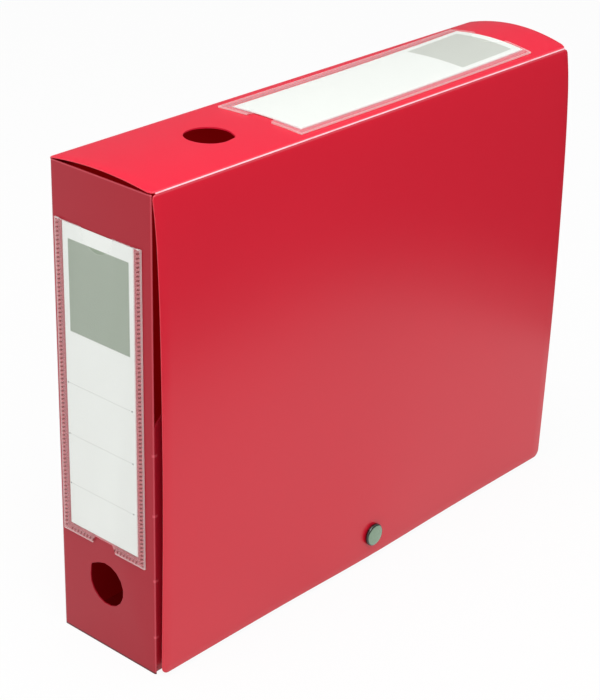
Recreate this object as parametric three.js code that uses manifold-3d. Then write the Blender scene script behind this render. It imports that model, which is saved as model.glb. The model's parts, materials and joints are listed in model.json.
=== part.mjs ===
// A4 box file of folded polypropylene sheet, standing on its bottom wall.
// Millimetres, +Z up. The length lies along X, the cover faces -Y and the spine is on top.
import * as THREE from 'three';
import Module from 'manifold-3d';

const wasm = await Module();
wasm.setup();
const { Manifold, Mesh } = wasm;

// Driving sizes of the case
const length = 330;
const height = 266;
const depth = 70;
const sheet = 0.8;
const clear = 0.3;
const cornerRadius = 1.4;

// Folds: the sheet ends are full round and stop short of the fold's axis
const foldSetback = 0.8;
const foldZ = height + clear + sheet / 2;
const backFoldY = depth / 2 - sheet / 2;
const frontFoldY = -(depth / 2 + clear + sheet / 2);
const spineWidth = backFoldY - frontFoldY;

// Front flaps of the tray
const sideFlapWidth = 45;
const sideFlapLow = 4.5;
const sideFlapFoldTop = 145;
const sideFlapRise = 15;
const sideFlapCorner = 8;
const bottomFlapHeight = 42;
const bottomFlapTaper = 14;
const bottomFlapY = -depth / 2 + sheet + clear;
const cornerTabHeight = 22;
const cornerTabDepth = 46;

// Finger holes: a round hole with one corner drawn out
const fingerRadius = 12.5;
const fingerCorner = 14.2;
const fingerCornerRadius = 1.8;
const endHoleY = 1.2;
const endHoleZ = 39.2;
const endHoleTurn = 35;
const spineHoleX = -92.5;
const spineHoleY = -0.5;
const spineHoleTurn = -52;

// Spine bulge, above the flat panel, at the middle and at both ends
const bulgeMiddle = 1.2;
const bulgeLabelEnd = 2.8;
const bulgePlainEnd = 5.6;
const spineCornerCut = 3.2;

// Cover: how far it stands off its fold's plane, by distance below the fold
const coverBottom = 2;
const coverBow = [
  [0, 0], [6, 1.0], [14, 2.1], [28, 3.3], [60, 4.7], [110, 5.6], [160, 5.8], [215, 5.0], [height, 3.9],
];
const coverCornerRadius = 4.5;
const coverTopCut = 2.2;
const studSwell = 1.4;
const studSwellWidth = 55;
const studSwellHeight = 70;

// Label pockets of clear film, welded on three sides, with a card inside
const filmThick = 0.25;
const cardThick = 0.3;
const cardMargin = 5.2;
const notchRadius = 11;
const weldGap = 17;
const weldGapDepth = 4.5;
const endFilmWidth = 60.6;
const endFilmLow = 61.5;
const endFilmTop = 237.2;
const endFilmY = 1.6;
const endCardShort = 0.8;
const spineFilmWidth = 58;
const spineFilmLeft = -57;
const spineFilmRight = 136.5;
const spineFilmY = -1.8;

// Press stud
const studX = 0;
const studZ = 16.5;
const studCapDiameter = 13.3;
const studCapThick = 2.4;
const studFlangeDiameter = 10.4;
const studFlangeThick = 0.8;
const knobDiameter = 5.6;
const knobLength = 3.2;
const socketDiameter = 10.4;
const socketWall = 1.4;
const socketPlay = 1;
const postDiameter = 3;
const rivetDiameter = 10;

const red = new THREE.MeshStandardMaterial({ color: 0xd02438, roughness: 0.38, metalness: 0 });
const spineRed = new THREE.MeshStandardMaterial({ color: 0xe8304a, roughness: 0.38, metalness: 0 });
const coverRed = new THREE.MeshStandardMaterial({ color: 0xd42a3c, roughness: 0.38, metalness: 0 });
const film = new THREE.MeshStandardMaterial({ color: 0xd88088, roughness: 0.2, metalness: 0 });
const card = new THREE.MeshStandardMaterial({ color: 0xe8ebe4, roughness: 0.8, metalness: 0 });
const gunmetal = new THREE.MeshStandardMaterial({ color: 0x8a9a88, roughness: 0.3, metalness: 0.9 });
const steel = new THREE.MeshStandardMaterial({ color: 0xa8aaa8, roughness: 0.35, metalness: 0.9 });

const object = new THREE.Group();
object.name = 'box_file';

// Triangles in, solid out, and back
function solidFrom(positions, triangles) {
  const mesh = new Mesh({
    numProp: 3,
    vertProperties: new Float32Array(positions),
    triVerts: new Uint32Array(triangles),
  });
  mesh.merge();
  return new Manifold(mesh);
}

function solidOf(geometry) {
  const flat = geometry.index ? geometry.toNonIndexed() : geometry;
  const positions = flat.getAttribute('position').array;
  const triangles = Array.from({ length: positions.length / 3 }, (_, i) => i);
  return solidFrom(positions, triangles);
}

function geometryOf(solid) {
  const mesh = solid.getMesh();
  const geometry = new THREE.BufferGeometry();
  geometry.setAttribute('position', new THREE.Float32BufferAttribute(mesh.vertProperties, 3));
  geometry.setIndex(Array.from(mesh.triVerts));
  geometry.computeVertexNormals();
  return geometry;
}

function add(name, solid, material) {
  const mesh = new THREE.Mesh(geometryOf(solid), material);
  mesh.name = name;
  object.add(mesh);
}

// A flat shape drawn in a plane that looks along +Z, made from `low` to `high`
function slab(shape, low, high, segments = 8) {
  const options = { depth: high - low, bevelEnabled: false, curveSegments: segments };
  const geometry = new THREE.ExtrudeGeometry(shape, options);
  geometry.translate(0, 0, low);
  return solidOf(geometry);
}

// Shapes drawn in (x, z) become plates across Y; shapes drawn in (y, z) become plates across X
function plateAcrossY(shape, low, high, segments) {
  return slab(shape, -high, -low, segments).rotate([90, 0, 0]);
}

function plateAcrossX(shape, low, high, segments) {
  return slab(shape, low, high, segments).rotate([90, 0, 0]).rotate([0, 0, 90]);
}

function box(x0, x1, y0, y1, z0, z1) {
  return Manifold.cube([x1 - x0, y1 - y0, z1 - z0]).translate([x0, y0, z0]);
}

// A polygon whose corners are rounded: each point is [u, v] or [u, v, radius]
function roundedShape(points) {
  const shape = new THREE.Shape();
  const count = points.length;
  points.forEach(([u, v, radius = 0], i) => {
    const corner = new THREE.Vector2(u, v);
    const before = new THREE.Vector2(...points[(i + count - 1) % count].slice(0, 2));
    const after = new THREE.Vector2(...points[(i + 1) % count].slice(0, 2));
    const start = corner.clone().add(before.sub(corner).setLength(radius));
    const end = corner.clone().add(after.sub(corner).setLength(radius));
    if (i === 0) {
      shape.moveTo(start.x, start.y);
    } else {
      shape.lineTo(start.x, start.y);
    }
    if (radius > 0) {
      shape.quadraticCurveTo(u, v, end.x, end.y);
    }
  });
  shape.closePath();
  return shape;
}

// The finger hole's outline round (u, v), its corner turned from +u
function fingerShape(u, v, turnDegrees) {
  const turn = THREE.MathUtils.degToRad(turnDegrees);
  const open = Math.acos(fingerRadius / fingerCorner);
  const place = (radius, angle) => [u + radius * Math.cos(angle), v + radius * Math.sin(angle)];
  const shape = new THREE.Shape();
  const tip = place(fingerCorner, turn);
  const first = place(fingerRadius, turn + open);
  const last = place(fingerRadius, turn - open);
  const reach = Math.hypot(tip[0] - last[0], tip[1] - last[1]);
  const near = fingerCornerRadius / reach;
  const blend = (from, share) => [tip[0] + (from[0] - tip[0]) * share, tip[1] + (from[1] - tip[1]) * share];
  shape.moveTo(...first);
  shape.absarc(u, v, fingerRadius, turn + open, turn - open + 2 * Math.PI, false);
  shape.lineTo(...blend(last, near));
  shape.quadraticCurveTo(...tip, ...blend(first, near));
  shape.closePath();
  return shape;
}

// Half the sheet's thickness near a full round end, at distance `d` from its tip
function halfThickness(d) {
  const r = sheet / 2;
  return d >= r ? r : Math.max(0.08, Math.sqrt(r * r - (r - d) * (r - d)));
}

// A thin curved sheet: `across` are stations along X, `along` are stations down the panel,
// and point(u, v, side) gives the surface on either side
function curvedSheet(across, along, point) {
  const positions = [];
  const triangles = [];
  const columns = along.length;
  const index = (i, j, side) => (i * columns + j) * 2 + side;
  for (const u of across) {
    for (const v of along) {
      positions.push(...point(u, v, 1), ...point(u, v, -1));
    }
  }
  const quad = (a, b, c, d) => triangles.push(a, b, c, a, c, d);
  for (let i = 0; i < across.length - 1; i += 1) {
    for (let j = 0; j < columns - 1; j += 1) {
      quad(index(i, j, 0), index(i + 1, j, 0), index(i + 1, j + 1, 0), index(i, j + 1, 0));
      quad(index(i, j, 1), index(i, j + 1, 1), index(i + 1, j + 1, 1), index(i + 1, j, 1));
    }
    const end = columns - 1;
    quad(index(i, 0, 0), index(i, 0, 1), index(i + 1, 0, 1), index(i + 1, 0, 0));
    quad(index(i, end, 0), index(i + 1, end, 0), index(i + 1, end, 1), index(i, end, 1));
  }
  const lastRow = across.length - 1;
  for (let j = 0; j < columns - 1; j += 1) {
    quad(index(0, j, 0), index(0, j + 1, 0), index(0, j + 1, 1), index(0, j, 1));
    quad(index(lastRow, j, 0), index(lastRow, j, 1), index(lastRow, j + 1, 1), index(lastRow, j + 1, 0));
  }
  const made = solidFrom(positions, triangles);
  return made.volume() < 0 ? solidFrom(positions, triangles.reverse()) : made;
}

function evenly(from, to, steps) {
  return Array.from({ length: steps + 1 }, (_, i) => from + ((to - from) * i) / steps);
}

const left = -length / 2;
const right = length / 2;
const front = -depth / 2;
const back = depth / 2;

// Tray: back panel, bottom wall, two end walls and three front flaps, one folded sheet
const wallsOuter = roundedShape([
  [left, front, cornerRadius], [right, front, cornerRadius], [right, back, cornerRadius], [left, back, cornerRadius],
]);
const innerRadius = cornerRadius - sheet;
const wallsInner = roundedShape([
  [left + sheet, front + sheet, innerRadius], [right - sheet, front + sheet, innerRadius],
  [right - sheet, back - sheet, innerRadius], [left + sheet, back - sheet, innerRadius],
]);
const backTop = foldZ - foldSetback;
let tray = slab(wallsOuter, 0, height, 3).subtract(slab(wallsInner, -1, height + 1, 3));

// The flaps are what the cut leaves of the front wall
const flapTop = sideFlapFoldTop + sideFlapRise;
const flapEdge = length / 2 - sideFlapWidth;
const flapEnd = length / 2 - sheet;
const frontCut = roundedShape([
  [-flapEnd, height + 1], [-flapEnd, sideFlapFoldTop], [-flapEnd + sideFlapRise, flapTop],
  [-flapEdge, flapTop, sideFlapCorner], [-flapEdge, sideFlapLow + sideFlapCorner, sideFlapCorner],
  [-flapEnd, sideFlapLow], [-flapEnd, -1], [flapEnd, -1], [flapEnd, sideFlapLow],
  [flapEdge, sideFlapLow + sideFlapCorner, sideFlapCorner], [flapEdge, flapTop, sideFlapCorner],
  [flapEnd - sideFlapRise, flapTop], [flapEnd, sideFlapFoldTop], [flapEnd, height + 1],
]);
tray = tray.subtract(plateAcrossY(frontCut, front - 1, front + sheet, 4));

// The back panel's top is a full round end below the fold
const backCut = box(left - 1, right + 1, back - sheet - 0.01, back + 1, backTop, height + 1);
const backEnd = Manifold.cylinder(length - 2 * cornerRadius, sheet / 2, sheet / 2, 12, true)
  .rotate([0, 90, 0])
  .translate([0, backFoldY, backTop]);
tray = tray.subtract(backCut).add(backEnd);

// Bottom wall with its front flap, and its end tabs welded inside the end walls
const bottomProfile = roundedShape([
  [back - sheet / 2, 0], [back - sheet / 2, sheet], [bottomFlapY + sheet, sheet],
  [bottomFlapY + sheet, bottomFlapHeight], [bottomFlapY, bottomFlapHeight], [bottomFlapY, 0, cornerRadius],
]);
const bottomSpan = right - sheet / 2;
const bottomPanel = plateAcrossX(bottomProfile, -bottomSpan, bottomSpan, 4);
const flapOutline = roundedShape([
  [-bottomSpan, -1], [bottomSpan, -1], [bottomSpan, sheet], [bottomSpan - 2 * sheet, sheet + 2],
  [bottomSpan - bottomFlapTaper, bottomFlapHeight, sideFlapCorner],
  [-(bottomSpan - bottomFlapTaper), bottomFlapHeight, sideFlapCorner],
  [-(bottomSpan - 2 * sheet), sheet + 2], [-bottomSpan, sheet],
]);
tray = tray.add(bottomPanel.intersect(plateAcrossY(flapOutline, front - 1, back + 1, 4)));
const tabFront = front + 2 * sheet + clear + 2;
for (const side of [-1, 1]) {
  const outer = side * (length / 2 - sheet / 2);
  const inner = side * (length / 2 - 2 * sheet);
  const tab = box(
    Math.min(outer, inner), Math.max(outer, inner), tabFront, tabFront + cornerTabDepth, 0, cornerTabHeight,
  );
  tray = tray.add(tab);
}

// The end wall's finger hole, and the flap's hole for the stud
const endHole = fingerShape(endHoleY, endHoleZ, endHoleTurn);
tray = tray.subtract(plateAcrossX(endHole, left - 5, left + 5, 7));
const postHole = Manifold.cylinder(10, postDiameter / 2 + clear, postDiameter / 2 + clear, 16, true)
  .rotate([90, 0, 0])
  .translate([studX, bottomFlapY + sheet / 2, studZ]);
tray = tray.subtract(postHole);
add('tray', tray, red);

// Spine panel: bulged most at its ends, held straight along both folds
function spineBulge(x, y) {
  const end = x < 0 ? bulgeLabelEnd : bulgePlainEnd;
  const share = Math.abs(x) / (length / 2);
  const peak = bulgeMiddle + (end - bulgeMiddle) * share * share;
  const middle = (backFoldY + frontFoldY) / 2;
  const off = (y - middle) / (spineWidth / 2);
  return peak * Math.max(0, 1 - off * off);
}

const spineBackY = backFoldY - foldSetback + sheet / 2;
const spineFrontY = frontFoldY + foldSetback - sheet / 2;
const spineAlong = [
  spineFrontY, spineFrontY + 0.12, spineFrontY + 0.4, ...evenly(spineFrontY + 4, spineBackY - 4, 12),
  spineBackY - 0.4, spineBackY - 0.12, spineBackY,
];
function spinePoint(x, y, side) {
  const half = halfThickness(Math.min(y - spineFrontY, spineBackY - y));
  return [x, y, foldZ + spineBulge(x, y) + side * half];
}
const spineOutline = roundedShape([
  [left, spineFrontY + spineCornerCut], [left + spineCornerCut, spineFrontY - 1],
  [right - spineCornerCut, spineFrontY - 1], [right, spineFrontY + spineCornerCut],
  [right, spineBackY + 1], [left, spineBackY + 1],
]);
const spineHole = fingerShape(spineHoleX, spineHoleY, spineHoleTurn);
const spinePanel = curvedSheet(evenly(left, right, 22), spineAlong, spinePoint)
  .intersect(slab(spineOutline, height - 5, height + 20))
  .subtract(slab(spineHole, height - 5, height + 20, 7));
add('spine_panel', spinePanel, spineRed);

// Cover panel: bowed off the tray, and pushed out round the stud
function coverStandoff(x, z) {
  const down = foldZ - z;
  let i = 0;
  while (i < coverBow.length - 2 && coverBow[i + 1][0] < down) {
    i += 1;
  }
  const [d0, b0] = coverBow[i];
  const [d1, b1] = coverBow[i + 1];
  const bow = b0 + (b1 - b0) * Math.min(1, Math.max(0, (down - d0) / (d1 - d0)));
  const sideways = (x - studX) / studSwellWidth;
  const upwards = (z - studZ) / studSwellHeight;
  return bow + studSwell * Math.exp(-sideways * sideways - upwards * upwards);
}

const coverTopZ = foldZ - foldSetback + sheet / 2;
const coverAlong = [
  coverTopZ, coverTopZ - 0.12, coverTopZ - 0.4,
  ...coverBow.slice(1, -1).map(([down]) => foldZ - down),
  34, studZ, coverBottom,
];
function coverPoint(x, z, side) {
  const half = halfThickness(coverTopZ - z);
  return [x, frontFoldY - coverStandoff(x, z) - side * half, z];
}
const coverOutline = roundedShape([
  [left, coverBottom, coverCornerRadius], [right, coverBottom, coverCornerRadius],
  [right, coverTopZ - coverTopCut], [right - coverTopCut, coverTopZ + 0.2],
  [left + coverTopCut, coverTopZ + 0.2], [left, coverTopZ - coverTopCut],
]);
const coverHole = Manifold.cylinder(30, postDiameter / 2 + clear, postDiameter / 2 + clear, 16, true)
  .rotate([90, 0, 0])
  .translate([studX, frontFoldY - coverStandoff(studX, studZ), studZ]);
const coverPanel = curvedSheet(evenly(left, right, 22), coverAlong, coverPoint)
  .intersect(plateAcrossY(coverOutline, front - 30, front, 4))
  .subtract(coverHole);
add('cover_panel', coverPanel, coverRed);

// A pocket's outline in (u, v): open edge at +v with a thumb notch, weld gap at -v
function pocketShape(u0, u1, v0, v1) {
  const middle = (u0 + u1) / 2;
  const shape = new THREE.Shape();
  shape.moveTo(u0, v0);
  shape.lineTo(middle - weldGap / 2, v0);
  shape.lineTo(middle - weldGap / 2 + 2, v0 + weldGapDepth);
  shape.lineTo(middle + weldGap / 2 - 2, v0 + weldGapDepth);
  shape.lineTo(middle + weldGap / 2, v0);
  shape.lineTo(u1, v0);
  shape.lineTo(u1, v1);
  shape.lineTo(middle + notchRadius, v1);
  shape.absarc(middle, v1, notchRadius, 0, Math.PI, true);
  shape.lineTo(u0, v1);
  shape.closePath();
  return shape;
}

// End label: the film and card stand clear of the end wall's outer face
const cardOff = clear;
const filmOff = clear + cardThick + clear;
const endFilmFront = endFilmY - endFilmWidth / 2;
const endFilmBack = endFilmY + endFilmWidth / 2;
const endPocket = plateAcrossX(
  pocketShape(endFilmFront, endFilmBack, endFilmLow, endFilmTop),
  left - filmOff - filmThick, left - filmOff, 6,
);
const endRim = plateAcrossX(
  roundedShape([
    [endFilmFront, endFilmLow], [endFilmBack, endFilmLow],
    [endFilmBack, endFilmTop], [endFilmFront, endFilmTop],
  ]),
  left - filmOff - filmThick / 2, left - clear, 2,
);
const rimWidth = 3;
const endRoom = box(
  left - 5, left + 5, endFilmFront + rimWidth, endFilmBack - rimWidth, endFilmLow + rimWidth, endFilmTop + 5,
);
const endRimGap = box(
  left - 5, left + 5, endFilmY - weldGap / 2, endFilmY + weldGap / 2, endFilmLow - 5, endFilmLow + 5,
);
add('end_label_pocket', endPocket.add(endRim.subtract(endRoom).subtract(endRimGap)), film);

const endCard = box(
  left - cardOff - cardThick, left - cardOff,
  endFilmFront + cardMargin, endFilmBack - cardMargin,
  endFilmLow + cardMargin, endFilmTop - endCardShort,
);
add('end_label', endCard, card);

// Spine label: film and card follow the spine's bulge
function overSpine(offLow, offHigh, along, across) {
  return curvedSheet(along, across, (x, y, side) => {
    const off = side > 0 ? offHigh : offLow;
    return [x, y, foldZ + sheet / 2 + spineBulge(x, y) + off];
  });
}
const spineFilmFront = spineFilmY - spineFilmWidth / 2;
const spineFilmBack = spineFilmY + spineFilmWidth / 2;
const filmAlong = evenly(spineFilmLeft, spineFilmRight, 12);
const filmAcross = evenly(spineFilmFront, spineFilmBack, 8);
const turnedPocket = pocketShape(-spineFilmBack, -spineFilmFront, spineFilmLeft, spineFilmRight);
const pocketOutline = slab(turnedPocket, height - 5, height + 20, 6).rotate([0, 0, -90]);
const spineFilm = overSpine(filmOff, filmOff + filmThick, filmAlong, filmAcross).intersect(pocketOutline);
const spineRimRoom = box(
  spineFilmLeft + rimWidth, spineFilmRight + 5,
  spineFilmFront + rimWidth, spineFilmBack - rimWidth, height - 5, height + 20,
);
const spineRimGap = box(
  spineFilmLeft - 5, spineFilmLeft + 5,
  spineFilmY - weldGap / 2, spineFilmY + weldGap / 2, height - 5, height + 20,
);
const spineRim = overSpine(clear, filmOff + filmThick / 2, filmAlong, filmAcross)
  .subtract(spineRimRoom)
  .subtract(spineRimGap);
add('spine_label_pocket', spineFilm.add(spineRim), film);

const spineCard = overSpine(
  cardOff, cardOff + cardThick,
  evenly(spineFilmLeft + cardMargin, spineFilmRight - endCardShort, 12),
  evenly(spineFilmFront + cardMargin, spineFilmBack - cardMargin, 6),
);
add('spine_label', spineCard, card);

// Press stud, turned about an axis along -Y through (studX, studZ).
// Profiles run [radius, distance in front of the bottom flap].
function turned(profile) {
  const points = profile.map(([radius, out]) => new THREE.Vector2(radius, out));
  const geometry = new THREE.LatheGeometry(points, 28);
  geometry.deleteAttribute('normal');
  geometry.deleteAttribute('uv');
  const made = solidOf(geometry);
  return made.rotate([180, 0, 0]).translate([studX, bottomFlapY, studZ]);
}

const coverInner = bottomFlapY - (frontFoldY - coverStandoff(studX, studZ) + sheet / 2);
const coverOuter = coverInner + sheet;
const flangeTop = clear + studFlangeThick;
const knobTop = flangeTop + knobLength;
const boreRadius = postDiameter / 2 + clear;
const boreTop = knobTop - 0.9;

// Knob half: flange on the flap's outer face, with a bore for the rivet's post
const knobNeck = knobDiameter / 2 - 0.35;
add('stud_knob', turned([
  [boreRadius, clear], [studFlangeDiameter / 2, clear], [studFlangeDiameter / 2, flangeTop],
  [knobNeck, flangeTop], [knobNeck, flangeTop + 1], [knobDiameter / 2, flangeTop + 1.9],
  [knobDiameter / 2 - 0.5, knobTop - 0.3], [knobDiameter / 2 - 1.2, knobTop], [0, knobTop],
  [0, boreTop], [boreRadius, boreTop], [boreRadius, clear],
]), steel);

// Rivet: flat head inside the tray, post through the flap into the knob
const rivetFace = -sheet - clear;
add('stud_rivet', turned([
  [0, rivetFace - studFlangeThick], [rivetDiameter / 2, rivetFace - studFlangeThick],
  [rivetDiameter / 2, rivetFace], [postDiameter / 2, rivetFace],
  [postDiameter / 2, boreTop - clear], [0, boreTop - clear],
]), steel);

// Socket half: a ring under the cover that snaps over the knob, with room to swing off it
const socketFace = flangeTop + 2 * clear;
const socketBack = coverInner - clear;
const socketRoof = knobTop + clear;
const socketBore = knobDiameter / 2 + socketPlay;
add('stud_socket', turned([
  [socketBore, socketFace], [socketDiameter / 2 - socketWall / 2, socketFace],
  [socketDiameter / 2, socketFace + socketWall / 2], [socketDiameter / 2, socketBack],
  [boreRadius, socketBack], [boreRadius, socketRoof], [socketBore, socketRoof], [socketBore, socketFace],
]), steel);

// Cap: low domed disc on the cover's outer face, post through the cover into the socket
const capFace = coverOuter + clear;
const capRadius = studCapDiameter / 2;
const capTop = capFace + studCapThick;
add('stud_cap', turned([
  [0, socketRoof + clear], [postDiameter / 2, socketRoof + clear], [postDiameter / 2, capFace],
  [capRadius - 0.6, capFace], [capRadius, capFace + 0.6], [capRadius, capTop - 1],
  [capRadius - 0.35, capTop - 0.45], [capRadius - 1.1, capTop - 0.15], [capRadius / 2, capTop - 0.03],
  [0, capTop],
]), gunmetal);

export default object;
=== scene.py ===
import json
import math

import bmesh
import bpy
from mathutils import Matrix, Vector


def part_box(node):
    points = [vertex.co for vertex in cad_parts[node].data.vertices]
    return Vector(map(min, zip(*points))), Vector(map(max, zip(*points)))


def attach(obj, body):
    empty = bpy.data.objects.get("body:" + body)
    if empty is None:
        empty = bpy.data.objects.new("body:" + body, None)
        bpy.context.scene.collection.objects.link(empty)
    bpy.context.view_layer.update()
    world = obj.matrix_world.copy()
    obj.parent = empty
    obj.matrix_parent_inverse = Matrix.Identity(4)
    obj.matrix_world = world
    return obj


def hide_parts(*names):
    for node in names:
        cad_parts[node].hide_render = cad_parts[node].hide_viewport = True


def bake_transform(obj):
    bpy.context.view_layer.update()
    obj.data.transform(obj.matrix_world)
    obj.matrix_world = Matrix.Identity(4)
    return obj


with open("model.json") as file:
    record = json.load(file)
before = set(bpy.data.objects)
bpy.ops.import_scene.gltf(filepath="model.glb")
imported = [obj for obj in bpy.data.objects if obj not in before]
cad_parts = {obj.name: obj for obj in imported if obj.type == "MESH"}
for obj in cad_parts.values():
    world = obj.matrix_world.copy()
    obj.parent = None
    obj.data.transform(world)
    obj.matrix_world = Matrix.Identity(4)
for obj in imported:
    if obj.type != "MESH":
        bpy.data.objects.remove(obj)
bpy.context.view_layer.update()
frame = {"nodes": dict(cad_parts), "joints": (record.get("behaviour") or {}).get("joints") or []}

# Tray: the case is one folded polypropylene sheet with back, bottom, two end walls and
# front flaps. It keeps the frame's shape; its edges are eased as a punched sheet's are.
sheet_thickness = 0.0008
case_length, case_depth, case_height = 0.330, 0.070, 0.266
wall_inside = 0.0006
tray_edge_ease, tray_gloss = 0.00018, 0.30
wall_fold, top_fold = (-0.0011, -0.0003), (-0.0007, -0.0003)
bridge_heights, bridge_half = (0.0226, 0.0566, 0.0947, 0.1290), 0.0007
bridge_front, bridge_end = (-0.0016, -0.0010), (-0.0030, -0.0020)
# Painted shade along the bottom folds fades out between these two heights.
foot_low, foot_high = 0.0006, 0.0013
# The painted glow inside the case rises to full at the first height and stops at the second.
glow_full, glow_top = 0.16, 0.260
# The sheet's red, darkened for the tray as painted shade; the spine and the cover get lighter
# copies of the same red.
tray_red_painted_shade = (0.39, 0.010, 0.024)
fold_pink = (0.80, 0.16, 0.20)
# The colour of the painted shade along the bottom folds.
foot_shade = (0.12, 0.010, 0.015)
# The colour of the painted glow inside the case.
inside_glow_red = (0.085, 0.0002, 0.0004)


class Value:
    """One output of a material's nodes. Arithmetic on it adds the Math nodes."""

    def __init__(self, paint, socket):
        self.paint, self.socket = paint, socket

    def math(self, operation, *others):
        inputs = dict(enumerate((self, *others)))
        return self.paint.node("ShaderNodeMath", {"operation": operation}, inputs)

    def __add__(self, other):
        return self.math("ADD", other)

    def __mul__(self, other):
        return self.math("MULTIPLY", other)

    def __sub__(self, other):
        return self.math("SUBTRACT", other)

    def __rsub__(self, other):
        return self.paint.node("ShaderNodeMath", {"operation": "SUBTRACT"}, {0: other, 1: self})

    def __abs__(self):
        return self.math("ABSOLUTE")

    __radd__, __rmul__ = __add__, __mul__

    def largest(self, *others):
        """The largest of this and other values."""
        result = self
        for other in others:
            result = result.math("MAXIMUM", other)
        return result

    def step(self, low, high):
        """0 under low, 1 over high, smooth between."""
        settings = {"interpolation_type": "SMOOTHSTEP"}
        inputs = {"Value": self, "From Min": low, "From Max": high}
        return self.paint.node("ShaderNodeMapRange", settings, inputs)

    def past(self, edge, soft):
        """The same, with its middle at an edge."""
        return self.step(edge - soft, edge + soft)

    def between(self, low, high, soft):
        return self.past(low, soft) * (1 - self.past(high, soft))


class Paint:
    """A material, or the air of the studio, and its nodes."""

    def __init__(self, name, owner=None):
        self.material = owner or bpy.data.materials.new(name)
        self.material.use_nodes = True
        self.tree = self.material.node_tree
        self.shader = self.tree.nodes["Background" if owner else "Principled BSDF"]

    def node(self, kind, settings=None, inputs=None, output=0):
        made = self.tree.nodes.new(kind)
        for name, setting in (settings or {}).items():
            setattr(made, name, setting)
        for name, value in (inputs or {}).items():
            self.feed(made.inputs[name], value)
        return Value(self, made.outputs[output])

    def feed(self, socket, value):
        if isinstance(value, Value):
            self.tree.links.new(value.socket, socket)
        elif isinstance(value, tuple) and len(value) == 3 and socket.type == "RGBA":
            socket.default_value = (*value, 1)
        else:
            socket.default_value = value

    def set(self, **values):
        """Constants and links on the shader's own sockets."""
        for name, value in values.items():
            self.feed(self.shader.inputs[name.replace("_", " ")], value)

    def place(self):
        """The piece's own coordinates, in metres: three values and the vector."""
        vector = self.node("ShaderNodeTexCoord", output="Object")
        split = self.node("ShaderNodeSeparateXYZ", inputs={"Vector": vector})
        x, y, z = (Value(self, output) for output in split.socket.node.outputs)
        return x, y, z, vector

    def mix(self, factor, one, other):
        settings = {"data_type": "RGBA"}
        return self.node("ShaderNodeMix", settings, {0: factor, 6: one, 7: other}, output=2)

    def noise(self, vector, scale, detail=2.0, roughness=0.5):
        inputs = {"Vector": vector, "Scale": scale, "Detail": detail, "Roughness": roughness}
        return self.node("ShaderNodeTexNoise", inputs=inputs)

    def bump(self, height, strength, distance):
        inputs = {"Height": height, "Strength": strength, "Distance": distance}
        self.set(Normal=self.node("ShaderNodeBump", inputs=inputs))


def toned(colour, factor):
    """The colour made darker or lighter."""
    return tuple(channel * factor for channel in colour)


def sheet_paint(name, colour, fold_mask, gloss=0.5, foot_shade_mask=None):
    """Satin sheet: a fine leathery grain, faint cloudiness, paler where it is folded, and painted
    shade along its foot if a mask is given. Its roughness stays over 0.274, at which the
    denoiser would draw a line round the clouds."""
    paint = Paint(name)
    x, y, z, place = paint.place()
    cloud = paint.noise(place, 9.0, 3.0)
    grain = paint.noise(place, 2600.0, 2.0, 0.6)
    scuffs = paint.noise(place, 60.0, 6.0, 0.65).step(0.62, 0.80)
    base = paint.mix(cloud, toned(colour, 0.93), colour)
    base = paint.mix(fold_mask(x, y, z) * 0.35, base, fold_pink)
    # Painted shade: where the mask is given, the base colour darkens towards the foot.
    if foot_shade_mask:
        base = paint.mix(foot_shade_mask(z), base, foot_shade)
    paint.set(Base_Color=base, Roughness=0.277 + cloud * 0.025 + scuffs * 0.01)
    paint.set(Specular_IOR_Level=gloss)
    paint.bump(grain, 0.10, 0.00005)
    return paint


def tray_folds(x, y, z):
    """Near the case's long folds, and the short bridges left in the punched front fold."""
    past_end, past_side = abs(x) - case_length / 2, abs(y) - case_depth / 2
    end = past_end.step(*wall_fold)
    upright, top = end * past_side.step(*wall_fold), end * (z - case_height).step(*top_fold)
    bridges = sum(z.between(at - bridge_half, at + bridge_half, 0.0003) for at in bridge_heights)
    bridges = bridges * (0 - y - case_depth / 2).step(*bridge_front) * past_end.step(*bridge_end)
    return (upright + top + bridges).math("MINIMUM", 2.0)


def tray_foot_shade(z):
    """Painted shade along the bottom folds, which turn under and get no light where the case
    stands.
    """
    return 1 - z.step(foot_low, foot_high)


def inside_painted_glow(paint):
    """Painted light: a deep red emission glow inside the case, standing in for the daylight that
    the sheet lets through.
    """
    x, y, z, place = paint.place()
    within = (case_length / 2 - wall_inside - abs(x)).step(0, 0.0002)
    within = within * (case_depth / 2 - wall_inside - abs(y)).step(0, 0.0002)
    within = within * z.past(wall_inside, 0.0001) * (1 - z.past(glow_top, 0.002))
    rising = 0.35 + z.step(0.0, glow_full) * 0.65
    paint.set(Emission_Color=paint.mix(within * rising, (0.0, 0.0, 0.0), inside_glow_red))
    paint.set(Emission_Strength=1.0)


def copy_of(node):
    """A merged bmesh copy of one of the frame's solids, its flat faces whole again."""
    bm = bmesh.new()
    bm.from_mesh(frame["nodes"][node].data)
    bmesh.ops.remove_doubles(bm, verts=bm.verts, dist=1e-6)
    bmesh.ops.dissolve_limit(bm, angle_limit=0.002, verts=bm.verts, edges=bm.edges)
    return bm


def object_of(name, bm):
    """The bmesh as an object at the origin."""
    mesh = bpy.data.meshes.new(name)
    bm.to_mesh(mesh)
    bm.free()
    made = bpy.data.objects.new(name, mesh)
    bpy.context.scene.collection.objects.link(made)
    return made


def painted(name, bm, paint, sharp=40):
    """The same, painted, and smooth but for edges that turn more than so many degrees."""
    made = object_of(name, bm)
    made.data.materials.append(paint.material)
    for face in made.data.polygons:
        face.use_smooth = True
    made.data.set_sharp_from_angle(angle=math.radians(sharp))
    return made


def placed(name, bm, paint, body, node):
    """The finished piece on its body and in the node's place, with the node itself hidden."""
    piece = painted(name, bm, paint)
    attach(piece, body)
    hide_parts(node)
    return piece


tray_paint = sheet_paint("red_tray_sheet", tray_red_painted_shade, tray_folds, tray_gloss, tray_foot_shade)
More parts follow.
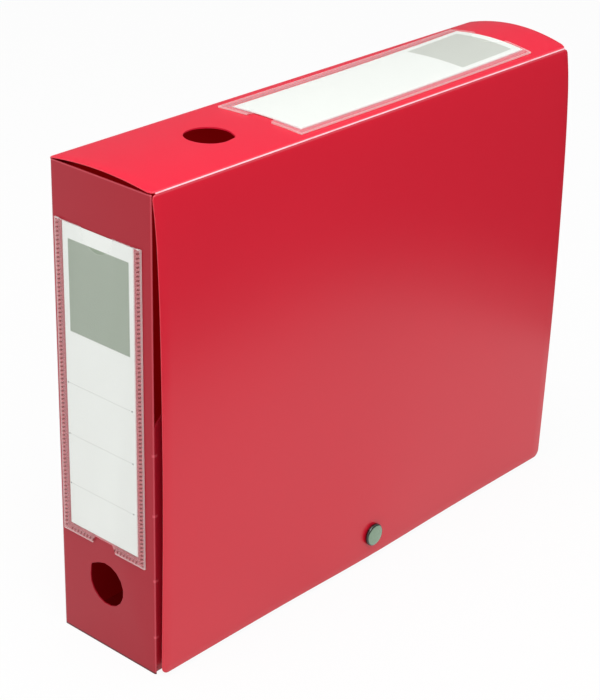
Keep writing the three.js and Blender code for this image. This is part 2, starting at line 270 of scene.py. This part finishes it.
# The inside of the case gets a painted glow.
inside_painted_glow(tray_paint)
tray = placed("folded_tray", copy_of("tray"), tray_paint, "tray", "tray")
edge_ease = tray.modifiers.new("eased edges", "BEVEL")
edge_ease.width, edge_ease.segments = tray_edge_ease, 2
edge_ease.limit_method, edge_ease.angle_limit = "ANGLE", math.radians(35)

# Spine: the sheet's top panel. It is scored along both long sides and springs upwards,
# most at its two ends, and has a finger hole with one corner drawn out.
spine_low, spine_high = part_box("spine_panel")
joint_place = {joint["name"]: joint["pos_m"] for joint in frame["joints"]}
back_fold, fold_height = joint_place["spine_fold"][1:]
front_fold = joint_place["cover_fold"][1]
bulge_middle, bulge_label_end, bulge_plain_end = 0.0012, 0.0028, 0.0056
spine_corners, spine_slices = ((0.0032, 2), (0.0006, 3)), ((0, 44), (1, 20))
panel_edge_ease = 0.00022
finger_radius, finger_corner, finger_corner_ease = 0.0125, 0.0142, 0.0006
finger_place, finger_turn, finger_cut = (-0.0925, -0.0005), math.radians(-52), 0.02
pale_full, pale_start, pale_front_start = 0.0006, 0.0016, 0.0018
# Painted light: the same sheet's red made much lighter for the spine, which faces the lamps.
spine_red_painted_light = (0.87, 0.014, 0.048)


def spine_bulge(x, y):
    """How far the spine's sheet springs up over its folds."""
    end = bulge_label_end if x < 0 else bulge_plain_end
    peak = bulge_middle + (end - bulge_middle) * (2 * x / case_length) ** 2
    off = (2 * y - back_fold - front_fold) / (back_fold - front_fold)
    return peak * max(0.0, 1 - off * off)


def plate(low, high, thin, corners, slices):
    """A flat sheet between two places, thin along one axis and with eased rims. `corners`
    are the radius and segments of its corners on the low and on the high side of its
    second long axis. `slices` says how many strips it is sliced into along each axis."""
    bm = bmesh.new()
    low, high = Vector(low), Vector(high)
    middle, size = (low + high) / 2, high - low
    bmesh.ops.create_cube(bm, size=1.0)
    bmesh.ops.scale(bm, vec=size, verts=bm.verts)
    bmesh.ops.translate(bm, vec=middle, verts=bm.verts)
    long_axes = [i for i in range(3) if i != thin]
    for side, (radius, segments) in zip((-1, 1), corners):
        for end in (-1, 1):
            picked = []
            for edge in bm.edges:
                tips = [vert.co - middle for vert in edge.verts]
                upright = abs(tips[0][thin] - tips[1][thin]) > size[thin] / 2
                in_place = all(
                    abs(tip[axis] - sign * size[axis] / 2) < 1e-6
                    for tip in tips for axis, sign in zip(long_axes, (end, side))
                )
                if upright and in_place:
                    picked.append(edge)
            bmesh.ops.bevel(
                bm, geom=picked, offset=radius, segments=segments, profile=0.5,
                affect="EDGES", material=-1,
            )
    faces = {face for face in bm.faces if abs(face.normal[thin]) > 0.99}
    rims = [edge for edge in bm.edges if len(faces.intersection(edge.link_faces)) == 1]
    bmesh.ops.bevel(
        bm, geom=rims, offset=panel_edge_ease, segments=3, profile=0.5, affect="EDGES",
        material=-1, clamp_overlap=True,
    )
    for axis, count in slices:
        for i in range(1, count):
            at, normal = middle.copy(), Vector((0, 0, 0))
            at[axis], normal[axis] = low[axis] + size[axis] * i / count, 1
            bmesh.ops.bisect_plane(
                bm, geom=bm.verts[:] + bm.edges[:] + bm.faces[:], dist=1e-7,
                plane_co=at, plane_no=normal,
            )
    return bm


def bend(bm, rule):
    """Moves each point of a sliced sheet to where the rule puts it."""
    for vert in bm.verts:
        vert.co = rule(vert.co.copy())
    bm.normal_update()


def finger_cutter(centre, turn, depth):
    """An upright prism of the finger hole's outline."""
    bm = bmesh.new()
    bmesh.ops.create_circle(bm, cap_ends=True, radius=1.0, segments=96)
    opening = math.acos(finger_radius / finger_corner)
    for vert in bm.verts:
        angle = math.atan2(vert.co.y, vert.co.x)
        reach = finger_radius / math.cos(max(0.0, opening - abs(angle)))
        reach = min(reach, finger_corner - finger_corner_ease)
        vert.co = Vector((math.cos(angle), math.sin(angle), 0)) * reach
    made = bmesh.ops.extrude_face_region(bm, geom=bm.faces[:])
    top = [item for item in made["geom"] if isinstance(item, bmesh.types.BMVert)]
    bmesh.ops.translate(bm, vec=(0, 0, depth), verts=top)
    bmesh.ops.translate(bm, vec=(0, 0, -depth / 2), verts=bm.verts)
    spin = Matrix.Rotation(turn, 4, "Z")
    bmesh.ops.transform(bm, matrix=Matrix.Translation(centre) @ spin, verts=bm.verts)
    bmesh.ops.recalc_face_normals(bm, faces=bm.faces)
    return bm


def cut(bm, cutter):
    """The first mesh less the second."""
    piece, tool = object_of("cut piece", bm), object_of("cutter", cutter)
    modifier = piece.modifiers.new("cut", "BOOLEAN")
    modifier.operation, modifier.object, modifier.solver = "DIFFERENCE", tool, "EXACT"
    bpy.context.view_layer.update()
    shaped = piece.evaluated_get(bpy.context.evaluated_depsgraph_get())
    result = bmesh.new()
    result.from_mesh(shaped.to_mesh())
    bpy.data.objects.remove(piece)
    bpy.data.objects.remove(tool)
    return result


def spine_folds(x, y, z):
    """Near the creases along the spine's two long sides."""
    near_front = 1 - y.step(front_fold + pale_full, front_fold + pale_front_start)
    near_back = y.step(back_fold - pale_start, back_fold - pale_full)
    return near_front + near_back


spine_sheet = plate(
    (spine_low.x, spine_low.y, fold_height - sheet_thickness / 2),
    (spine_high.x, spine_high.y, fold_height + sheet_thickness / 2),
    2, spine_corners, spine_slices,
)
finger_hole = finger_cutter((*finger_place, fold_height), finger_turn, finger_cut)
spine_sheet = cut(spine_sheet, finger_hole)
bend(spine_sheet, lambda p: Vector((p.x, p.y, p.z + spine_bulge(p.x, p.y))))
spine_paint = sheet_paint("red_spine_sheet", spine_red_painted_light, spine_folds)
placed("spine_sheet", spine_sheet, spine_paint, "spine", "spine_panel")

# Cover: the sheet's large front panel. It hangs from the front crease, springs off the
# case in a long bow, and is held out a little more round its press stud.
cover_low, cover_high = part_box("cover_panel")
cover_bow = (
    (0, 0), (0.006, 0.0010), (0.014, 0.0021), (0.028, 0.0033), (0.060, 0.0047),
    (0.110, 0.0056), (0.160, 0.0058), (0.215, 0.0050), (0.266, 0.0039),
)
cover_top_corner = 0.0022
cover_corners, cover_slices = ((0.0045, 8), (cover_top_corner, 2)), ((0, 48), (2, 60))
stud_height, stud_swell = 0.0165, 0.0014
swell_width, swell_height = 0.055, 0.070
# Painted light: the same sheet's red made lighter for the cover than for the tray, and darker
# than for the spine.
cover_red_painted_light = (0.665, 0.007, 0.028)


def bow_slope(i):
    """The bow's slope at one of its points, from the points on both sides."""
    before, after = cover_bow[max(0, i - 1)], cover_bow[min(len(cover_bow) - 1, i + 1)]
    return (after[1] - before[1]) / (after[0] - before[0])


def cover_standoff(x, z):
    """How far the cover's sheet stands in front of its fold: a smooth line by height."""
    down = min(fold_height - z, cover_bow[-1][0])
    i = next(i for i, point in enumerate(cover_bow[1:]) if down <= point[0])
    (d0, b0), (d1, b1) = cover_bow[i:i + 2]
    t = max(0.0, (down - d0) / (d1 - d0))
    bow = (
        b0 * (2 * t**3 - 3 * t**2 + 1) + b1 * (3 * t**2 - 2 * t**3)
        + (d1 - d0) * (bow_slope(i) * (t**3 - 2 * t**2 + t) + bow_slope(i + 1) * (t**3 - t**2))
    )
    sideways, upwards = x / swell_width, (z - stud_height) / swell_height
    return bow + stud_swell * math.exp(-sideways**2 - upwards**2)


def cover_folds(x, y, z):
    """Near the crease that the cover hangs from."""
    return z.step(fold_height - pale_start, fold_height - pale_full)


cover_sheet = plate(
    (cover_low.x, front_fold - sheet_thickness / 2, cover_low.z),
    (cover_high.x, front_fold + sheet_thickness / 2, cover_high.z),
    1, cover_corners, cover_slices,
)
bend(cover_sheet, lambda p: Vector((p.x, p.y - cover_standoff(p.x, p.z), p.z)))
cover_paint = sheet_paint("red_cover_sheet", cover_red_painted_light, cover_folds)
placed("cover_sheet", cover_sheet, cover_paint, "cover", "cover_panel")

# Creases: the scored lines where the sheet turns from back to spine and from spine to
# cover, and where it bends as the file is opened. The sheet is thinned there and carries a
# painted highlight along the bend. These strips are fixed in place and don't bend.
crease_reach, crease_thick, crease_radius = 0.0011, 0.00045, 0.0008
crease_proud, crease_steps = 0.00003, 6
back_crease_end = 0.0005
# The painted highlight is full within the first of these distances from the bend and gone past
# the second.
highlight_full, highlight_end = 0.0004, 0.0007
# The colour of the painted highlight along the creases.
crease_highlight_white = (0.96, 0.58, 0.64)


def crease_finish():
    """Painted highlight: white, in patches, only along the bend itself, where the scored ridge
    catches the light; the spine's and cover's reds on both sides of it.
    """
    paint = Paint("whitened_crease")
    x, y, z, place = paint.place()
    middle = (back_fold + front_fold) / 2
    half = (back_fold - front_fold + sheet_thickness) / 2
    inward = half - abs(y - middle)
    down = fold_height + sheet_thickness / 2 - z
    on_bend = (1 - inward.step(highlight_full, highlight_end)) * (1 - down.step(highlight_full, highlight_end))
    # Noise makes the painted highlight patchy.
    patchy = paint.noise(place, 90.0, 4.0).step(0.30, 0.55)
    sheet = paint.mix(down.step(0.0002, 0.0006), spine_red_painted_light, cover_red_painted_light)
    base = paint.mix(on_bend * (0.75 + patchy * 0.25), sheet, crease_highlight_white)
    paint.set(Base_Color=base, Roughness=0.34)
    return paint


crease_paint = crease_finish()


def crease(name, y, away, length):
    """A bent strip whose section turns from the spine's top to the panel below it."""
    outer = fold_height + sheet_thickness / 2 + crease_proud
    side = y + away * (sheet_thickness / 2 + crease_proud)
    upper = (0, y - away * crease_reach, outer)
    lower = (0, side, fold_height - crease_reach)
    corner = Vector((0, side - away * crease_radius, outer - crease_radius))
    path = [Vector(upper)]
    for i in range(crease_steps + 1):
        angle = math.pi / 2 * i / crease_steps
        turn = Vector((0, away * math.sin(angle), math.cos(angle)))
        path.append(corner + turn * crease_radius)
    path.append(Vector(lower))
    bm = bmesh.new()
    verts = [bm.verts.new(point - Vector((length / 2, 0, 0))) for point in path]
    edges = [bm.edges.new(pair) for pair in zip(verts, verts[1:])]
    made = bmesh.ops.extrude_edge_only(bm, edges=edges)
    moved = [item for item in made["geom"] if isinstance(item, bmesh.types.BMVert)]
    bmesh.ops.translate(bm, vec=(length, 0, 0), verts=moved)
    bmesh.ops.recalc_face_normals(bm, faces=bm.faces)
    middle_face = min(bm.faces, key=lambda face: (face.calc_center_median() - corner).length)
    if middle_face.normal.dot(middle_face.calc_center_median() - corner) < 0:
        bmesh.ops.reverse_faces(bm, faces=bm.faces)
    bmesh.ops.solidify(bm, geom=bm.faces[:], thickness=crease_thick)
    bmesh.ops.recalc_face_normals(bm, faces=bm.faces)
    strip = painted(name, bm, crease_paint, sharp=50)
    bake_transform(strip)


crease("front_crease", front_fold, -1, case_length - 2 * cover_top_corner)
crease("back_crease", back_fold, 1, case_length - 2 * back_crease_end)

# End label: a printed card in a pocket of clear film. The film is welded to the end wall
# in short dashes, along both sides and the bottom; the gap that the real weld leaves at the
# bottom's middle is not drawn. Its open top has a thumb notch.
end_long_axis = 2
end_field, end_lines = ((-0.0200, 0.0229), (0.1784, 0.2282)), (0.0907, 0.1197, 0.1490)
dot_pitch, rule_half, rule_soft = 0.0016, 0.0002, 0.00012
lines_left, lines_right = 0.0008, 0.0028
tick_half, tick_inner, tick_outer, tick_soft = 0.0004, 0.0003, 0.0004, 0.0001
field_soft = 0.00015
weld_margin, weld_outer, weld_inner = 0.0052, 0.0009, 0.0030
dash_pitch, dash_slant = 0.0023, 900.0
film_soft, film_rim = 0.0002, 0.0005
notch_radius, notch_rim = 0.011, 0.0004
card_white = (0.85, 0.875, 0.84)
field_grey = (0.285, 0.345, 0.262)
line_grey = (0.36, 0.38, 0.34)
tick_grey = (0.05, 0.06, 0.05)
film_clear = (0.93, 0.95, 0.93)
end_weld = ((0.93, 0.46, 0.48), (0.27, 0.010, 0.016))


def card_paint(name, long_axis, field, field_colour, lines=()):
    """Matt card with a plain grey field and dotted writing lines. `field` says where it
    lies across the card and along it, and `lines` where the lines lie along it."""
    paint = Paint(name)
    *directions, place = paint.place()
    across, along = directions[1], directions[long_axis]
    (left, right), (low, high) = field
    in_field = across.between(left, right, field_soft) * along.between(low, high, field_soft)
    base = paint.mix(paint.noise(place, 120.0, 2.0), card_white, toned(card_white, 0.97))
    base = paint.mix(in_field, base, field_colour)
    if lines:
        start, end = left - lines_left, right + lines_right
        rules = sum(along.between(at - rule_half, at + rule_half, rule_soft) for at in lines)
        ticks = sum(along.between(at - tick_half, at + tick_half, tick_soft) for at in lines)
        dots = (across * (2 * math.pi / dot_pitch)).math("SINE").step(-0.2, 0.5)
        ends = across.between(start - tick_outer, start + tick_inner, tick_soft)
        ends = ends + across.between(end - tick_inner, end + tick_outer, tick_soft)
        dotted = rules * dots * across.between(start, end, 0.0002)
        base = paint.mix(dotted * 0.8, base, line_grey)
        base = paint.mix(ticks * ends, base, tick_grey)
    paint.set(Base_Color=base, Roughness=0.55)
    paint.bump(paint.noise(place, 1800.0, 3.0), 0.015, 0.00004)
    return paint


def dashes_along(run, cross):
    """Slanted weld dashes, one after another along their run."""
    return (run * (2 * math.pi / dash_pitch) + cross * dash_slant).math("SINE").step(0.0, 0.5)


def film_paint(name, box, long_axis, milk, weld, rim_white, weld_colours):
    """Clear film: nearly unseen over the card, milky where it is welded in dashes. Its
    welded end is the low end of its long axis, and the open one with the notch the high."""
    paint = Paint(name)
    *directions, place = paint.place()
    across, along = directions[1], directions[long_axis]
    low, high = box
    start, end, half = low[long_axis], high[long_axis], (high.y - low.y) / 2
    from_middle = abs(across - (low.y + high.y) / 2)

    beside = from_middle.past(half - weld_margin, film_soft)
    margin = beside.largest(1 - along.past(start + weld_margin, film_soft))
    on_side = from_middle.between(half - weld_inner, half - weld_outer, film_soft)
    on_end = along.between(start + weld_outer, start + weld_inner, film_soft) * (1 - beside)
    band = on_side.largest(on_end)
    side_dashes = on_side * dashes_along(along, across)
    dashes = side_dashes.largest(on_end * dashes_along(across, along))

    from_open_end = end - along
    from_notch = (from_middle * from_middle + from_open_end * from_open_end).math("SQRT")
    by_notch = 1 - from_notch.past(notch_radius + notch_rim, film_soft)
    rim = from_middle.past(half - film_rim, film_soft).largest(
        1 - along.past(start + film_rim, film_soft), along.past(end - film_rim, film_soft),
        by_notch * 0.3,
    )

    weld_pale, weld_deep = weld_colours
    streaks = paint.noise(place, 70.0, 3.0)
    alpha = 0.08 + margin * (milk + streaks * 0.07) + margin * (dashes + band * 0.2) * weld
    alpha = (alpha + rim * rim_white).math("MINIMUM", 0.8)
    welded = paint.mix(dashes * (1 - rim), weld_pale, weld_deep)
    tint = paint.mix(margin * (1 - rim * 0.8), film_clear, welded)
    paint.set(Base_Color=tint, Roughness=0.12, Alpha=alpha, Specular_IOR_Level=0.5)
    paint.bump(paint.noise(place, 300.0, 2.0), 0.012, 0.0002)
    return paint


end_card_paint = card_paint("end_card", end_long_axis, end_field, field_grey, end_lines)
placed("end_card", copy_of("end_label"), end_card_paint, "tray", "end_label")
end_film = film_paint(
    "end_pocket_film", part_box("end_label_pocket"), end_long_axis,
    milk=0.14, weld=0.30, rim_white=0.12, weld_colours=end_weld,
)
placed("end_pocket", copy_of("end_label_pocket"), end_film, "tray", "end_label_pocket")

# Spine label: the same kind of card and welded film pocket, longer, lying along the spine
# and following its bulge. Its open end with the thumb notch is at the file's plain end.
spine_long_axis = 0
spine_field = ((-0.0215, 0.0180), (0.0855, 0.1303))
field_pale = (0.56, 0.585, 0.53)
spine_weld = ((0.97, 0.74, 0.78), (0.86, 0.16, 0.20))

spine_card_paint = card_paint("spine_card", spine_long_axis, spine_field, field_pale)
placed("spine_card", copy_of("spine_label"), spine_card_paint, "spine", "spine_label")
spine_film = film_paint(
    "spine_pocket_film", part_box("spine_label_pocket"), spine_long_axis,
    milk=0.12, weld=0.06, rim_white=0.20, weld_colours=spine_weld,
)
placed("spine_pocket", copy_of("spine_label_pocket"), spine_film, "spine", "spine_label_pocket")

# Press stud: plated steel. The domed cap and the socket are fixed through the cover, the
# knob and its rivet through the tray's bottom flap.
cap_grey = (0.225, 0.315, 0.232)
# The rim's colour: painted dark, standing in for the dark reflection in the cap's rolled side.
cap_rim_painted_dark = (0.07, 0.075, 0.07)
cap_rim_start, cap_rim_full = 0.0057, 0.0062
stud_grey = (0.50, 0.50, 0.48)


def brushed_metal(name):
    """The paint of a brushed metal piece, without its colour, and the piece's place."""
    paint = Paint(name)
    x, y, z, place = paint.place()
    paint.set(Metallic=1.0)
    paint.bump(paint.noise(place, 3000.0, 2.0), 0.05, 0.00003)
    return paint, x, z, place


def cap_finish():
    """Pearl-grey lacquer on the cap's face; its turned-in rim is painted dark, a painted
    reflection of the dark surroundings that its rolled side mirrors.
    """
    paint, x, z, place = brushed_metal("pearl_grey_cap")
    up = z - stud_height
    rim = (x * x + up * up).math("SQRT").step(cap_rim_start, cap_rim_full)
    face = paint.mix(paint.noise(place, 260.0, 2.0), cap_grey, toned(cap_grey, 1.25))
    paint.set(Base_Color=paint.mix(rim, face, cap_rim_painted_dark), Roughness=0.24 - rim * 0.12)
    return paint


def stud_finish():
    """Plain plating, with wear in places."""
    paint, x, z, place = brushed_metal("plated_stud")
    patchy = paint.noise(place, 400.0, 4.0)
    base = paint.mix(patchy, stud_grey, toned(stud_grey, 1.2))
    paint.set(Base_Color=base, Roughness=0.30 + patchy * 0.08)
    return paint


cap_paint, stud_paint = cap_finish(), stud_finish()
for node, body, paint in (
    ("stud_cap", "cover", cap_paint), ("stud_socket", "cover", stud_paint),
    ("stud_knob", "tray", stud_paint), ("stud_rivet", "tray", stud_paint),
):
    placed(node.replace("stud", "press_stud"), copy_of(node), paint, body, node)

# Studio: a plain pale floor that runs to white, large soft lamps above and beside, boards
# that the sheet's gloss mirrors, and the camera at the photograph's place.
floor_grey, board_black = (0.86, 0.86, 0.86), (0.01, 0.01, 0.01)
floor_size, floor_glow, room_light = 6.0, 0.93, 0.55


def seen_directly(paint):
    """1 for rays from the camera and for those that gloss or film send on, else 0."""
    kinds = ("Is Camera Ray", "Is Glossy Ray", "Is Transmission Ray")
    camera_ray, *others = (paint.node("ShaderNodeLightPath", output=kind) for kind in kinds)
    return camera_ray.largest(*others)


floor_paint = Paint("pale_floor")
floor_paint.set(Base_Color=floor_grey, Roughness=0.9)
shade = Value(floor_paint, floor_paint.shader.outputs[0])
glow = floor_paint.node("ShaderNodeEmission", inputs={"Color": (1.0, 1.0, 1.0), "Strength": 1.0})
blended = floor_paint.node(
    "ShaderNodeMixShader", inputs={0: seen_directly(floor_paint) * floor_glow, 1: shade, 2: glow},
)
floor_paint.feed(floor_paint.tree.nodes["Material Output"].inputs["Surface"], blended)
floor_mesh = bmesh.new()
bmesh.ops.create_grid(floor_mesh, x_segments=1, y_segments=1, size=floor_size)
painted("floor", floor_mesh, floor_paint)

world = bpy.data.worlds.new("studio")
bpy.context.scene.world = world
air = Paint("studio", world)
air.set(Color=(1, 1, 1), Strength=room_light + seen_directly(air) * (1 - room_light))


def board(name, corner, along, up, colour):
    """A dull studio board that only the object's own gloss mirrors."""
    bm = bmesh.new()
    corner, along, up = Vector(corner), Vector(along), Vector(up)
    rim = (corner, corner + along, corner + along + up, corner + up)
    bm.faces.new([bm.verts.new(point) for point in rim])
    paint = Paint(name)
    paint.set(Base_Color=colour, Roughness=0.9)
    item = painted(name, bm, paint)
    item.visible_camera = item.visible_diffuse = item.visible_shadow = False
    item.visible_transmission = False


board("dark_board", (-0.4, -0.31, 0.003), (3.0, 0, 0), (0, -1.4, 0.9), board_black)
board("side_board", (0.40, -0.36, 0.004), (2.6, 0, 0), (0, 0.24, 0), board_black)
board("pale_board", (0.31, -0.36, 0.0035), (2.6, 0, 0), (0, 0.31, 0), (0.40, 0.40, 0.40))
board("grey_board", (0.3, 1.35, 0), (1.7, -1.5, 0), (0, 0, 2.0), (0.22, 0.22, 0.22))


def lamp(name, place, target, side, power):
    """A square soft lamp that faces its target."""
    data = bpy.data.lights.new(name, "AREA")
    data.shape, data.size, data.size_y, data.energy = "RECTANGLE", side, side, power
    item = bpy.data.objects.new(name, data)
    item.location = place
    item.rotation_euler = (Vector(target) - Vector(place)).to_track_quat("-Z", "Y").to_euler()
    bpy.context.scene.collection.objects.link(item)


lamp("top_lamp", (-0.3, -0.1, 1.5), (0, 0, 0.2), 1.2, 10)
lamp("front_lamp", (-0.5, -0.9, 1.1), (0, 0, 0.18), 0.8, 5.7)
lamp("left_lamp", (-1.6, 0.2, 0.7), (0, 0, 0.13), 1.0, 3)

camera_azimuth, camera_elevation, camera_roll = -48.56, 25.82, 1.49
camera_distance, camera_lens = 1.076, 100.2
camera_target = Vector((-0.0190, 0, 0.1252))
turn, rise = math.radians(camera_azimuth), math.radians(camera_elevation)
level = math.cos(rise)
behind = Vector((math.sin(turn) * level, -math.cos(turn) * level, math.sin(rise)))
camera_data = bpy.data.cameras.new("camera")
camera_data.lens, camera_data.sensor_width = camera_lens, 36
camera_data.clip_start, camera_data.clip_end = 0.01, 50
camera = bpy.data.objects.new("camera", camera_data)
bpy.context.scene.collection.objects.link(camera)
facing = (-behind).to_track_quat("-Z", "Y").to_matrix().to_4x4()
roll = Matrix.Rotation(math.radians(camera_roll), 4, "Z")
camera.matrix_world = Matrix.Translation(camera_target + behind * camera_distance) @ facing @ roll
bpy.context.scene.camera = camera
bpy.context.scene.view_settings.view_transform = "Standard"
